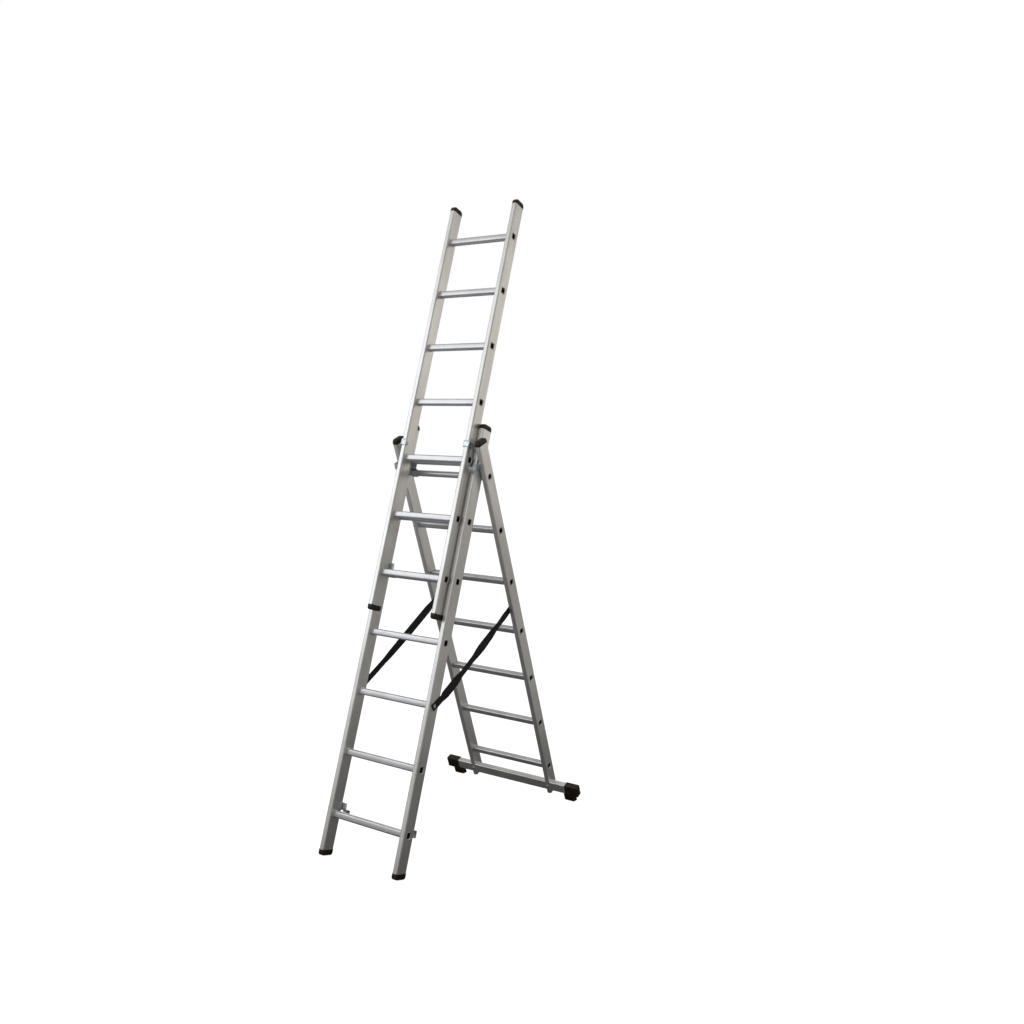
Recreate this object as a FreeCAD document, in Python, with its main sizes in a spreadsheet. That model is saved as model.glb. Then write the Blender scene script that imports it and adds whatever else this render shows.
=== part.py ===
import FreeCAD, Part
import Sketcher
import os
import re
from math import atan2, cos, degrees, hypot, radians, sin

# Three-section aluminium combination ladder, standing as an A-frame with its fly section slid up.
# Each section is drawn in its own frame: X across, Y to the back, Z up along the stiles, with the
# origin on the axis of the section's lowest rung. A Placement then leans the section in the frame
# of the whole ladder: Z up, X across, Y to the back, origin on the floor under the middle.

V = FreeCAD.Vector
doc = FreeCAD.newDocument("combination_ladder")

# ---------------------------------------------------------------- driving dimensions (millimetres)
SIZES = [
    ("rung_count", 7),
    ("rung_pitch", 280),
    ("end_length", 160),        # stile beyond its last rung, at either end
    ("fly_width", 390),         # over the stiles of the narrowest section
    ("side_gap", 4),            # between the stiles of nested sections
    ("nest_gap", 0.5),          # between a stile and the rungs that it lies on
    ("stile_depth", 70),
    ("stile_width", 25),
    ("stile_wall", 2),
    ("stile_radius", 6),
    ("rung_side", 30),
    ("rung_radius", 7),
    ("rung_wall", 1.6),
    ("lip_width", 2.2),         # flare of the rung round its hole
    ("lip_height", 1),          # how far the flare stands out of the outer wall
    ("collar_height", 1.6),     # pressed collar against the inner wall
    ("fit_gap", 0.1),           # a pressed piece in its hole
    ("lean_front", 16.8),       # degrees from upright
    ("lean_rear", 22.5),
    ("raised_pitches", 4),      # how many rungs the fly is slid up
    ("cap_height", 25),
    ("cap_round", 12),
    ("cap_proud", 1),
    ("plug_length", 30),
    ("plug_wall", 2),
    ("plug_bore_radius", 3),
    ("plate_thickness", 3),
    ("guide_height", 30),       # width of the guide straps along the stile
    ("guide_rise", 69),         # above the top rung
    ("guide_gap", 1),           # strap to the stile that runs in it
    ("guide_side_gap", 2),
    ("guide_reach", 22),        # cover of the rear guide over the front stile
    ("return_lip", 14),
    ("hinge_drop", 48),         # hinge axis below the front section's top rung
    ("hinge_gap", 0.3),         # round mouth to the round hinge rung in it
    ("hook_inwards", 24),       # hook strap beyond its stile's inner face
    ("hook_outwards", 15),      # hook strap over its stile's rear face
    ("hook_gap", 0.75),         # lower hook to the rung in it
    ("hook_low", 16),           # how far a hook reaches below its rung's axis
    ("hook_high", 50),          # a lower hook's leg above its rung's axis
    ("hook_bend", 8),           # outside of a lower hook's rounded back
    ("leg_bend", 2),            # inside of the bend at the foot of a hook's leg
    ("rivet_drop", 8),          # upper rivet below the end of a hook's leg
    ("rivet_step", 13),         # between the rivets of a lower hook
    ("hinge_rivet_step", 24),
    ("hook_rivet_shift", 8.5),  # rivets outwards from the stile's inner face
    ("hinge_high", 72),         # hinge leg above the hinge axis
    ("rivet_radius", 2.4),
    ("rivet_head_radius", 4.6),
    ("rivet_head_height", 1.5),
    ("rivet_bulb_radius", 3.4), # set end of the rivet, inside the stile
    ("head_round", 0.8),        # share of a fastener head's height that is domed
    ("bar_length", 820),
    ("bar_height", 52),
    ("bar_depth", 30),
    ("bar_wall", 2),
    ("bar_radius", 4),
    ("bar_inset", 20),          # stile left below the bar
    ("bar_foot_length", 75),
    ("bar_foot_wall", 3),
    ("bar_foot_end", 10),       # closed end beyond the bar
    ("pad_length", 56),
    ("pad_outset", 14),         # pad beyond the sleeve, towards the stile
    ("pad_depth", 34),
    ("bolt_radius", 4),
    ("bolt_head_radius", 7.5),
    ("bolt_head_height", 4),
    ("nut_height", 6),
    ("strap_width", 35),
    ("strap_thickness", 1.6),
    ("strap_tail", 15),         # webbing beyond the bolt at each end
    ("strap_end_round", 10),
    ("strap_pitches", 3.5),     # upper anchor above the rear section's lowest rung
    ("strap_front_rung", 2),    # lower anchor: front rungs above the lowest
    ("strap_shift", 5),         # upper anchor in front of the stile's middle
    ("anchor_radius", 5),
    ("anchor_bolt_radius", 4),
    ("anchor_head_radius", 9),
    ("anchor_head_height", 2.5),
    ("anchor_shank", 12),
    ("margin", 1),              # how far a cut or a joined shank runs past its face
]
TOUCH = 0.01                    # edges this close to a place count as being there

# Sizes that follow from those above.
DERIVED = [
    ("section_offset", "stile_depth / 2 + rung_side / 2 + nest_gap"),
    ("front_width", "fly_width + 2 * stile_width + 2 * side_gap"),
    ("rear_width", "front_width + 2 * stile_width + 2 * side_gap"),
    ("top_rung", "(rung_count - 1) * rung_pitch"),
    ("stile_length", "top_rung + 2 * end_length"),
    ("hinge_level", "top_rung - hinge_drop"),
    ("hinge_mouth", "rung_side / 2 + hinge_gap"),
    ("hook_mouth", "rung_side / 2 + hook_gap"),
    ("bar_middle", "bar_inset + bar_height / 2 - end_length"),
    ("bar_centre_y", "-stile_depth / 2 + stile_wall + fit_gap + bar_depth / 2"),
    ("guide_level", "top_rung + guide_rise"),
]

sheet = doc.addObject("Spreadsheet::Sheet", "Sizes")
for row, (alias, content) in enumerate(SIZES + DERIVED, start=1):
    sheet.set("A%d" % row, alias)
    text = "=" + content if isinstance(content, str) else str(content)
    sheet.set("B%d" % row, text)
    sheet.setAlias("B%d" % row, alias)
doc.recompute()


def size(alias):
    """Value of a named size, in millimetres or degrees."""
    return float(getattr(sheet, alias))


def bound(formula):
    """The formula with each size's name turned into a reference to the sheet."""
    return re.sub("([a-z_]+)", r"Sizes.\1", formula)


def value(formula):
    """Number that a formula of named sizes gives now."""
    return float(doc.Sizes.evalExpression(bound(formula)))


# ---------------------------------------------------------------- sketch and feature helpers
def origin_plane(body, role):
    return [feature for feature in body.Origin.OriginFeatures if feature.Role == role][0]


def new_body(label):
    body = doc.addObject("PartDesign::Body", label)
    body.Label = label
    return body


def new_sketch(body, role, name, offset="0"):
    """Sketch on an origin plane of the body, moved along the plane's normal."""
    sketch = body.newObject("Sketcher::SketchObject", name)
    sketch.AttachmentSupport = [(origin_plane(body, role), "")]
    sketch.MapMode = "FlatFace"
    if offset != "0":
        sketch.setExpression("AttachmentOffset.Base.z", bound(offset))
    return sketch


def tie(sketch, kind, first, second, formula):
    """Signed distance from the sketch's origin to a point, bound to a formula."""
    index = sketch.addConstraint(Sketcher.Constraint(kind, -1, 1, first, second, value(formula)))
    sketch.setExpression("Constraints[%d]" % index, bound(formula))


def circle(sketch, x, y, radius):
    centre = V(value(x), value(y), 0)
    index = sketch.addGeometry(Part.Circle(centre, V(0, 0, 1), value(radius)), False)
    tie(sketch, "DistanceX", index, 3, x)
    tie(sketch, "DistanceY", index, 3, y)
    limit = sketch.addConstraint(Sketcher.Constraint("Radius", index, value(radius)))
    sketch.setExpression("Constraints[%d]" % limit, bound(radius))


def polygon(sketch, corners):
    """Closed outline through corners given as pairs of formulas."""
    points = [V(value(x), value(y), 0) for x, y in corners]
    count = len(points)
    first = sketch.GeometryCount
    for i in range(count):
        sketch.addGeometry(Part.LineSegment(points[i], points[(i + 1) % count]), False)
    for i in range(count):
        following = first + (i + 1) % count
        sketch.addConstraint(Sketcher.Constraint("Coincident", first + i, 2, following, 1))
    for i, (x, y) in enumerate(corners):
        tie(sketch, "DistanceX", first + i, 1, x)
        tie(sketch, "DistanceY", first + i, 1, y)


def rounded_rectangle(sketch, low_x, high_x, low_y, high_y, radius):
    """Rectangle with rounded corners between four signed distances."""
    x0 = value(low_x)
    x1 = value(high_x)
    y0 = value(low_y)
    y1 = value(high_y)
    r = value(radius)
    ends = [
        (V(x0 + r, y0, 0), V(x1 - r, y0, 0)),
        (V(x1, y0 + r, 0), V(x1, y1 - r, 0)),
        (V(x1 - r, y1, 0), V(x0 + r, y1, 0)),
        (V(x0, y1 - r, 0), V(x0, y0 + r, 0)),
    ]
    centres = [V(x1 - r, y0 + r, 0), V(x1 - r, y1 - r, 0), V(x0 + r, y1 - r, 0), V(x0 + r, y0 + r, 0)]
    starts = [-90, 0, 90, 180]
    first = sketch.GeometryCount
    for i in range(4):
        sketch.addGeometry(Part.LineSegment(*ends[i]), False)
        ring = Part.Circle(centres[i], V(0, 0, 1), r)
        sketch.addGeometry(Part.ArcOfCircle(ring, radians(starts[i]), radians(starts[i] + 90)), False)
    for i in range(4):
        line = first + 2 * i
        following = first + (2 * i + 2) % 8
        sketch.addConstraint(Sketcher.Constraint("Tangent", line, 2, line + 1, 1))
        sketch.addConstraint(Sketcher.Constraint("Tangent", line + 1, 2, following, 1))
        if i:
            sketch.addConstraint(Sketcher.Constraint("Equal", first + 1, line + 1))
    for i, kind in enumerate(["Horizontal", "Vertical", "Horizontal", "Vertical"]):
        sketch.addConstraint(Sketcher.Constraint(kind, first + 2 * i))
    limit = sketch.addConstraint(Sketcher.Constraint("Radius", first + 1, r))
    sketch.setExpression("Constraints[%d]" % limit, bound(radius))
    tie(sketch, "DistanceY", first, 1, low_y)
    tie(sketch, "DistanceX", first + 2, 1, high_x)
    tie(sketch, "DistanceY", first + 4, 1, high_y)
    tie(sketch, "DistanceX", first + 6, 1, low_x)


def pad(body, sketch, length, name, both_ways=False, backwards=False):
    feature = body.newObject("PartDesign::Pad", name)
    feature.Profile = sketch
    feature.setExpression("Length", bound(length))
    feature.Midplane = both_ways
    feature.Reversed = backwards
    sketch.Visibility = False
    return feature


def pocket_through(body, sketch, name):
    """Cut right through the body, to both sides of the sketch."""
    feature = body.newObject("PartDesign::Pocket", name)
    feature.Profile = sketch
    feature.Type = "ThroughAll"
    feature.Midplane = True
    return feature


def pocket(body, sketch, length, name, backwards=False):
    feature = body.newObject("PartDesign::Pocket", name)
    feature.Profile = sketch
    feature.setExpression("Length", bound(length))
    feature.Reversed = backwards
    return feature


def fillet_where(body, feature, radius, test, name):
    """Round the edges of the feature that pass the test."""
    doc.recompute()
    edges = ["Edge%d" % (i + 1) for i, edge in enumerate(feature.Shape.Edges) if test(edge)]
    rounded = body.newObject("PartDesign::Fillet", name)
    rounded.Base = (feature, edges)
    rounded.setExpression("Radius", bound(radius))
    return rounded


# ---------------------------------------------------------------- where each section stands
SIDES = {"left": -1, "right": 1}
SECTIONS = {"front": "front_width", "fly": "fly_width", "rear": "rear_width"}


def section_placements():
    """Placement of each section's frame, with the floor at zero and the middle of the depth at Y 0."""
    lean_front = radians(size("lean_front"))
    lean_rear = radians(size("lean_rear"))
    half = size("stile_depth") / 2
    foot_round = size("cap_round")
    foot_end = size("end_length") + size("cap_height")
    foot_drop = (foot_end - foot_round) * cos(lean_front) + (half - foot_round) * sin(lean_front)
    front_rot = FreeCAD.Rotation(V(1, 0, 0), -size("lean_front"))
    rear_rot = FreeCAD.Rotation(V(1, 0, 0), size("lean_rear"))
    front_base = V(0, 0, foot_drop + foot_round)
    hinge = front_base + front_rot.multVec(V(0, size("section_offset"), size("hinge_level")))
    rear_base = hinge - rear_rot.multVec(V(0, 0, size("top_rung")))
    raised = size("raised_pitches") * size("rung_pitch")
    fly_base = front_base + front_rot.multVec(V(0, -size("section_offset"), raised))
    toe = (foot_end - foot_round) * sin(lean_front) + (half - foot_round) * cos(lean_front)
    front_edge = front_base.y - toe - foot_round
    rear_edge = rear_base.y + size("end_length") * sin(lean_rear) + half * cos(lean_rear)
    shift = V(0, -(front_edge + rear_edge) / 2, 0)
    return {
        "front": FreeCAD.Placement(front_base + shift, front_rot),
        "fly": FreeCAD.Placement(fly_base + shift, front_rot),
        "rear": FreeCAD.Placement(rear_base + shift, rear_rot),
    }


PLACES = section_placements()
NODES = []


def place(thing, section, local=V(0, 0, 0)):
    """Put a piece drawn in its section's frame where the section stands, and list it as a node."""
    thing.Placement = PLACES[section].multiply(FreeCAD.Placement(local, FreeCAD.Rotation()))
    NODES.append(thing)
    return thing


def face_x(section, side, wall):
    """Formula of a stile's outer or inner face, signed for its side."""
    sign = "-" if side == "left" else ""
    if wall == "outer":
        return "%s( %s / 2 )" % (sign, SECTIONS[section])
    return "%s( %s / 2 - stile_width )" % (sign, SECTIONS[section])


# Rivet heights on each section's stiles, on their rear and their front faces.
HOOK_RIVETS = ["hook_high - rivet_drop", "hook_high - rivet_drop - rivet_step"]
HINGE_RIVETS = ["hinge_level + hinge_high - rivet_drop",
                "hinge_level + hinge_high - rivet_drop - hinge_rivet_step"]
GUIDE_RIVETS = ["guide_level - guide_height / 4", "guide_level + guide_height / 4"]
REAR_RIVETS = {"front": HOOK_RIVETS + HINGE_RIVETS, "fly": HOOK_RIVETS, "rear": []}
FRONT_RIVETS = {"front": GUIDE_RIVETS, "fly": [], "rear": GUIDE_RIVETS}


# ---------------------------------------------------------------- stiles and rungs
def stile(section, side):
    """Box-section stile with its rung holes, the bar's window and the rivet holes."""
    body = new_body("%s_stile_%s" % (section, side))
    outer = face_x(section, side, "outer")
    inner = face_x(section, side, "inner")
    low, high = (outer, inner) if side == "left" else (inner, outer)
    profile = new_sketch(body, "XY_Plane", "profile", "-end_length")
    rounded_rectangle(profile, low, high, "-stile_depth / 2", "stile_depth / 2", "stile_radius")
    rounded_rectangle(profile, low + " + stile_wall", high + " - stile_wall",
                      "-stile_depth / 2 + stile_wall", "stile_depth / 2 - stile_wall",
                      "stile_radius - stile_wall")
    pad(body, profile, "stile_length", "extrusion")
    hole = new_sketch(body, "YZ_Plane", "rung_hole")
    edge = "rung_side / 2 + fit_gap"
    rounded_rectangle(hole, "-( %s )" % edge, edge, "-( %s )" % edge, edge, "rung_radius + fit_gap")
    punched = pocket_through(body, hole, "punched_hole")
    holes = body.newObject("PartDesign::LinearPattern", "rung_holes")
    holes.Originals = [punched]
    holes.Direction = (hole, ["V_Axis"])
    alike = "rung_count - 1" if section == "rear" else "rung_count"
    holes.setExpression("Length", bound("( %s - 1 ) * rung_pitch" % alike))
    holes.setExpression("Occurrences", bound(alike))
    body.Tip = holes
    if section == "rear":
        round_hole = new_sketch(body, "YZ_Plane", "hinge_rung_hole")
        circle(round_hole, "0", "top_rung", "rung_side / 2 + fit_gap")
        pocket_through(body, round_hole, "hinge_rung_cut")
        window = new_sketch(body, "YZ_Plane", "bar_window")
        rounded_rectangle(window, "bar_centre_y - bar_depth / 2 - fit_gap",
                          "bar_centre_y + bar_depth / 2 + fit_gap",
                          "bar_middle - bar_height / 2 - fit_gap",
                          "bar_middle + bar_height / 2 + fit_gap", "bar_radius + fit_gap")
        pocket_through(body, window, "window_cut")
        bolt = new_sketch(body, "XZ_Plane", "bolt_hole", "stile_depth / 2")
        circle(bolt, middle_x(section, side), "bar_middle", "bolt_radius + fit_gap")
        pocket(body, bolt, "stile_wall + margin", "bolt_cut")
        anchor = new_sketch(body, "YZ_Plane", "anchor_hole", face_x(section, side, "inner"))
        circle(anchor, "-strap_shift", "strap_pitches * rung_pitch", "anchor_radius + fit_gap")
        pocket(body, anchor, "stile_wall + margin", "anchor_cut", side == "right")
    if REAR_RIVETS[section]:
        rear_holes = new_sketch(body, "XZ_Plane", "rear_rivet_holes", "-stile_depth / 2")
        for z in REAR_RIVETS[section]:
            circle(rear_holes, hook_rivet_x(section, side), z, "rivet_radius + fit_gap")
        pocket(body, rear_holes, "stile_wall + margin", "rear_rivet_cut", backwards=True)
    if FRONT_RIVETS[section]:
        front_holes = new_sketch(body, "XZ_Plane", "front_rivet_holes", "stile_depth / 2")
        for z in FRONT_RIVETS[section]:
            circle(front_holes, middle_x(section, side), z, "rivet_radius + fit_gap")
        pocket(body, front_holes, "stile_wall + margin", "front_rivet_cut")
    place(body, section)


def middle_x(section, side):
    """Formula of the middle of a stile's width."""
    sign = "-" if side == "left" else ""
    return "%s( %s / 2 - stile_width / 2 )" % (sign, SECTIONS[section])


def hook_rivet_x(section, side):
    """Formula of where across the ladder the rivets of a stile's hooks are."""
    sign = "-" if side == "left" else ""
    return "%s( %s / 2 - stile_width + hook_rivet_shift )" % (sign, SECTIONS[section])


def rung_ring(sketch, wider, turning):
    """Bore and outside of a rung, the outside wider by a named size: round where the rung turns."""
    outside = "rung_side / 2" + wider
    bore = "rung_side / 2 - rung_wall"
    if turning:
        circle(sketch, "0", "0", outside)
        circle(sketch, "0", "0", bore)
        return
    for half, radius in ((outside, "rung_radius" + wider), (bore, "rung_radius - rung_wall")):
        rounded_rectangle(sketch, "-( %s )" % half, half, "-( %s )" % half, half, radius)


def rung(section, number):
    """Rung tube, flared outside both stiles and collared against their inner walls.

    The rear section's top rung is the hinge's axle, so it is a round tube; the others are square.
    """
    body = new_body("%s_rung_%d" % (section, number))
    width = SECTIONS[section]
    turning = section == "rear" and number == int(size("rung_count"))
    tube = new_sketch(body, "YZ_Plane", "tube")
    rung_ring(tube, "", turning)
    pad(body, tube, width + " + 2 * lip_height", "tube_pad", both_ways=True)
    rings = [
        ("flare_right", width + " / 2", "lip_height", False),
        ("flare_left", "-( %s / 2 )" % width, "lip_height", True),
        ("collar_right", width + " / 2 - stile_width", "collar_height", True),
        ("collar_left", "-( %s / 2 - stile_width )" % width, "collar_height", False),
    ]
    for name, offset, height, backwards in rings:
        ring = new_sketch(body, "YZ_Plane", name + "_outline", offset)
        rung_ring(ring, " + lip_width", turning)
        pad(body, ring, height, name, backwards=backwards)
    place(body, section, V(0, 0, (number - 1) * size("rung_pitch")))


# ---------------------------------------------------------------- plastic caps and feet
def cap(label, section, side, end):
    """Domed plastic end piece with a hollow plug that sits in the stile."""
    body = new_body(label)
    top = end == "top"
    outer = face_x(section, side, "outer")
    inner = face_x(section, side, "inner")
    low, high = (outer, inner) if side == "left" else (inner, outer)
    level = "top_rung + end_length" if top else "-end_length"
    dome = new_sketch(body, "XY_Plane", "dome_outline", level)
    rounded_rectangle(dome, low + " - cap_proud", high + " + cap_proud",
                      "-stile_depth / 2", "stile_depth / 2", "stile_radius")
    block = pad(body, dome, "cap_height", "dome", backwards=not top)
    far = value(level) + (1 if top else -1) * size("cap_height")
    half = size("stile_depth") / 2

    def on_long_end(edge):
        box = edge.BoundBox
        return (abs(box.ZMin - far) < TOUCH and box.ZLength < TOUCH and box.YLength < TOUCH
                and abs(abs(box.YMin) - half) < TOUCH)

    rounded = fillet_where(body, block, "cap_round", on_long_end, "round_ends")
    body.Tip = rounded
    plug = new_sketch(body, "XY_Plane", "plug_outline", level)
    rounded_rectangle(plug, low + " + stile_wall + fit_gap", high + " - stile_wall - fit_gap",
                      "-stile_depth / 2 + stile_wall + fit_gap", "stile_depth / 2 - stile_wall - fit_gap",
                      "stile_radius - stile_wall")
    rounded_rectangle(plug, low + " + stile_wall + plug_wall", high + " - stile_wall - plug_wall",
                      "-stile_depth / 2 + stile_wall + plug_wall",
                      "stile_depth / 2 - stile_wall - plug_wall", "plug_bore_radius")
    pad(body, plug, "plug_length", "plug", backwards=top)
    place(body, section)


# ---------------------------------------------------------------- brackets and hooks
def guide(section, side):
    """Strap riveted to a stile's front, reaching round the front of the next stile inwards."""
    body = new_body("%s_guide_%s" % (section, side))
    sign = "-" if side == "left" else ""
    low = "stile_depth / 2"
    far = "section_offset + stile_depth / 2 + guide_gap"
    outer = "%s / 2" % SECTIONS[section]
    inner = "%s / 2 - stile_width" % SECTIONS[section]
    web = "( %s - guide_side_gap )" % inner
    if section == "front":
        tip = "%s - side_gap - stile_width - guide_side_gap" % inner
        outline = [
            (outer + " - stile_radius", low), (web, low), (web, far), (tip, far),
            (tip, far + " - return_lip"), (tip + " - plate_thickness", far + " - return_lip"),
            (tip + " - plate_thickness", far + " + plate_thickness"),
            (web + " + plate_thickness", far + " + plate_thickness"),
            (web + " + plate_thickness", low + " + plate_thickness"),
            (outer + " - stile_radius", low + " + plate_thickness"),
        ]
    else:
        tip = "%s + plate_thickness - guide_reach" % web
        outline = [
            (outer + " - stile_radius", low), (web, low), (web, far), (tip, far),
            (tip, far + " + plate_thickness"),
            (web + " + plate_thickness", far + " + plate_thickness"),
            (web + " + plate_thickness", low + " + plate_thickness"),
            (outer + " - stile_radius", low + " + plate_thickness"),
        ]
    bent = new_sketch(body, "XY_Plane", "bent_strap", "guide_level")
    polygon(bent, [("%s( %s )" % (sign, x), "-( %s )" % y) for x, y in outline])
    pad(body, bent, "guide_height", "strap", both_ways=True)
    holes = new_sketch(body, "XZ_Plane", "rivet_holes", low)
    for z in GUIDE_RIVETS:
        circle(holes, middle_x(section, side), z, "rivet_radius + fit_gap")
    pocket(body, holes, "plate_thickness + margin", "rivet_cut", backwards=True)
    place(body, section)


def hook(label, section, side, level, mouth, high, bend, rivets):
    """Wide strap riveted to a stile's rear face, bent back over the rung behind it and down again.

    level is the rung's axis, mouth half the width between the stile and the strap's back, and bend
    the outside radius where the strap turns down.
    """
    body = new_body(label)
    right = side == "right"
    edge = "%s %s hook_outwards" % (face_x(section, side, "inner"), "+" if right else "-")
    stile_face = "stile_depth / 2"
    leg_face = "stile_depth / 2 + plate_thickness"
    under = "%s + %s" % (level, mouth)
    over = under + " + plate_thickness"
    inside = "section_offset + " + mouth
    outside = inside + " + plate_thickness"
    profile = new_sketch(body, "YZ_Plane", "strap_profile", edge)
    polygon(profile, [
        (stile_face, level + " + " + high), (stile_face, under), (inside, under),
        (inside, level + " - hook_low"), (outside, level + " - hook_low"), (outside, over),
        (leg_face, over), (leg_face, level + " + " + high),
    ])
    strap_pad = pad(body, profile, "hook_inwards + hook_outwards", "strap", backwards=right)

    def bent_at(y, z):
        """Test for an edge that runs across the strap at the given place."""
        return lambda edge: (abs(edge.BoundBox.YMin - value(y)) < TOUCH
                             and abs(edge.BoundBox.ZMin - value(z)) < TOUCH
                             and edge.BoundBox.YLength + edge.BoundBox.ZLength < TOUCH)

    turned = fillet_where(body, strap_pad, bend, bent_at(outside, over), "back_bend_outside")
    turned = fillet_where(body, turned, bend + " - plate_thickness", bent_at(inside, under),
                          "back_bend_inside")
    turned = fillet_where(body, turned, "leg_bend", bent_at(leg_face, over), "leg_bend_inside")
    body.Tip = turned
    holes = new_sketch(body, "XZ_Plane", "rivet_holes", "-stile_depth / 2")
    for z in rivets:
        circle(holes, hook_rivet_x(section, side), z, "rivet_radius + fit_gap")
    pocket(body, holes, "plate_thickness + margin", "rivet_cut")
    place(body, section)


# ---------------------------------------------------------------- rivets, bolts and anchors
def fastener(head_radius, head_height, shank_radius, shank_length, start, direction):
    """Domed head and shank: start is under the head, direction points from head into the work."""
    head = Part.makeCylinder(head_radius, head_height, start - direction * head_height, direction)
    top = start - direction * head_height
    rim = [edge for edge in head.Edges
           if edge.Length > head_radius and (edge.CenterOfMass - top).Length < TOUCH]
    head = head.makeFillet(head_height * size("head_round"), rim)
    shank = Part.makeCylinder(shank_radius, shank_length, start, direction)
    return head.fuse(shank).removeSplitter()


def group(label, solids, section):
    """Node of separate solids drawn in the section's frame."""
    node = doc.addObject("Part::Feature", label)
    node.Label = label
    node.Shape = Part.makeCompound(solids)
    place(node, section)


def rivet(start, direction, grip):
    """Blind rivet: domed head outside, set bulb behind the stile's wall."""
    body = fastener(size("rivet_head_radius"), size("rivet_head_height"), size("rivet_radius"),
                    grip + size("rivet_head_height"), start, direction)
    bulb = Part.makeCylinder(size("rivet_bulb_radius"), size("rivet_head_height"),
                             start + direction * (grip + size("fit_gap")), direction)
    return body.fuse(bulb).removeSplitter()


def rivets(section):
    """All rivets of one section's brackets."""
    grip = size("stile_wall") + size("plate_thickness")
    made = []
    for side in SIDES:
        rear_face = size("stile_depth") / 2 + size("plate_thickness")
        for z in REAR_RIVETS[section]:
            start = V(value(hook_rivet_x(section, side)), rear_face, value(z))
            made.append(rivet(start, V(0, -1, 0), grip))
        front_face = -size("stile_depth") / 2 - size("plate_thickness")
        for z in FRONT_RIVETS[section]:
            start = V(value(middle_x(section, side)), front_face, value(z))
            made.append(rivet(start, V(0, 1, 0), grip))
    group("%s_rivets" % section, made, section)


def bar_bolts():
    """Bolts through each rear stile's front wall and the bar, with their nuts inside the stile."""
    made = []
    for side in SIDES:
        start = V(value(middle_x("rear", side)), -size("stile_depth") / 2, size("bar_middle"))
        grip = size("stile_wall") + size("fit_gap") + size("bar_depth")
        bolt = fastener(size("bolt_head_radius"), size("bolt_head_height"), size("bolt_radius"),
                        grip + size("nut_height"), start, V(0, 1, 0))
        nut = Part.makeCylinder(size("bolt_head_radius"), size("nut_height"), start + V(0, grip, 0),
                                V(0, 1, 0))
        made.append(bolt.fuse(nut).removeSplitter())
    group("bar_bolts", made, "rear")


def strap_ends(side):
    """Anchor points of a strap, in the ladder's frame, halfway across the gap between the stiles."""
    across = SIDES[side] * (size("front_width") / 2 + size("side_gap") / 2)
    low = V(across, 0, size("strap_front_rung") * size("rung_pitch"))
    high = V(across, -size("strap_shift"), size("strap_pitches") * size("rung_pitch"))
    return PLACES["front"].multVec(low), PLACES["rear"].multVec(high)


def strap_anchors(section):
    """Anchor bolts: in the rung's open end on the front section, in the stile's wall on the rear."""
    made = []
    behind = size("strap_thickness") / 2 + size("fit_gap") / 2
    for side, sign in SIDES.items():
        across = sign * (size("front_width") / 2 + size("side_gap") / 2)
        if section == "front":
            at = V(across, 0, size("strap_front_rung") * size("rung_pitch"))
            into = V(-sign, 0, 0)
            plug_radius = size("rung_side") / 2 - size("rung_wall") - size("fit_gap")
            fixing = Part.makeCylinder(plug_radius, size("anchor_shank"), at + into * behind, into)
        else:
            at = V(across, -size("strap_shift"), size("strap_pitches") * size("rung_pitch"))
            into = V(sign, 0, 0)
            washer = Part.makeCylinder(size("anchor_head_radius"), size("side_gap") / 2 - behind,
                                       at + into * behind, into)
            shank = Part.makeCylinder(size("anchor_radius"), size("anchor_shank"), at + into * behind, into)
            fixing = washer.fuse(shank)
        bolt = fastener(size("anchor_head_radius"), size("anchor_head_height"), size("anchor_bolt_radius"),
                        2 * behind + size("margin"), at - into * behind, into)
        made.append(bolt.fuse(fixing).removeSplitter())
    group("strap_anchors_%s" % section, made, section)


def strap(side):
    """Flat webbing strap, pulled straight between its two bolts."""
    low, high = strap_ends(side)
    run = high - low
    length = hypot(run.y, run.z)
    lift = degrees(atan2(run.z, run.y))
    label = "strap_%s" % side
    width = size("strap_width")
    tail = size("strap_tail")
    thickness = size("strap_thickness")
    band = Part.makeBox(thickness, length + 2 * tail, width, V(-thickness / 2, -tail, -width / 2))
    corners = [edge for edge in band.Edges
               if edge.BoundBox.YLength < TOUCH and edge.BoundBox.ZLength < TOUCH]
    band = band.makeFillet(size("strap_end_round"), corners)
    for along in (0, length):
        eye = Part.makeCylinder(size("anchor_bolt_radius") + size("fit_gap"), 2 * thickness,
                                V(-thickness, along, 0), V(1, 0, 0))
        band = band.cut(eye)
    node = doc.addObject("Part::Feature", label)
    node.Label = label
    node.Shape = band
    node.Placement = FreeCAD.Placement(low, FreeCAD.Rotation(V(1, 0, 0), lift))
    NODES.append(node)


# ---------------------------------------------------------------- stabiliser bar and its feet
def stabiliser_bar():
    body = new_body("stabiliser_bar")
    section = new_sketch(body, "YZ_Plane", "bar_section")
    low_y = "bar_centre_y - bar_depth / 2"
    high_y = "bar_centre_y + bar_depth / 2"
    low_z = "bar_middle - bar_height / 2"
    high_z = "bar_middle + bar_height / 2"
    rounded_rectangle(section, low_y, high_y, low_z, high_z, "bar_radius")
    rounded_rectangle(section, low_y + " + bar_wall", high_y + " - bar_wall",
                      low_z + " + bar_wall", high_z + " - bar_wall", "bar_radius - bar_wall")
    pad(body, section, "bar_length", "bar", both_ways=True)
    holes = new_sketch(body, "XZ_Plane", "bolt_holes")
    for side in SIDES:
        circle(holes, middle_x("rear", side), "bar_middle", "bolt_radius + fit_gap")
    pocket_through(body, holes, "bolt_cut")
    place(body, "rear")


def floor_level(y):
    """Height along the rear stiles at which the floor lies, for a place Y across their depth."""
    lean = radians(size("lean_rear"))
    return -(PLACES["rear"].Base.z + y * sin(lean)) / cos(lean)


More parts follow.
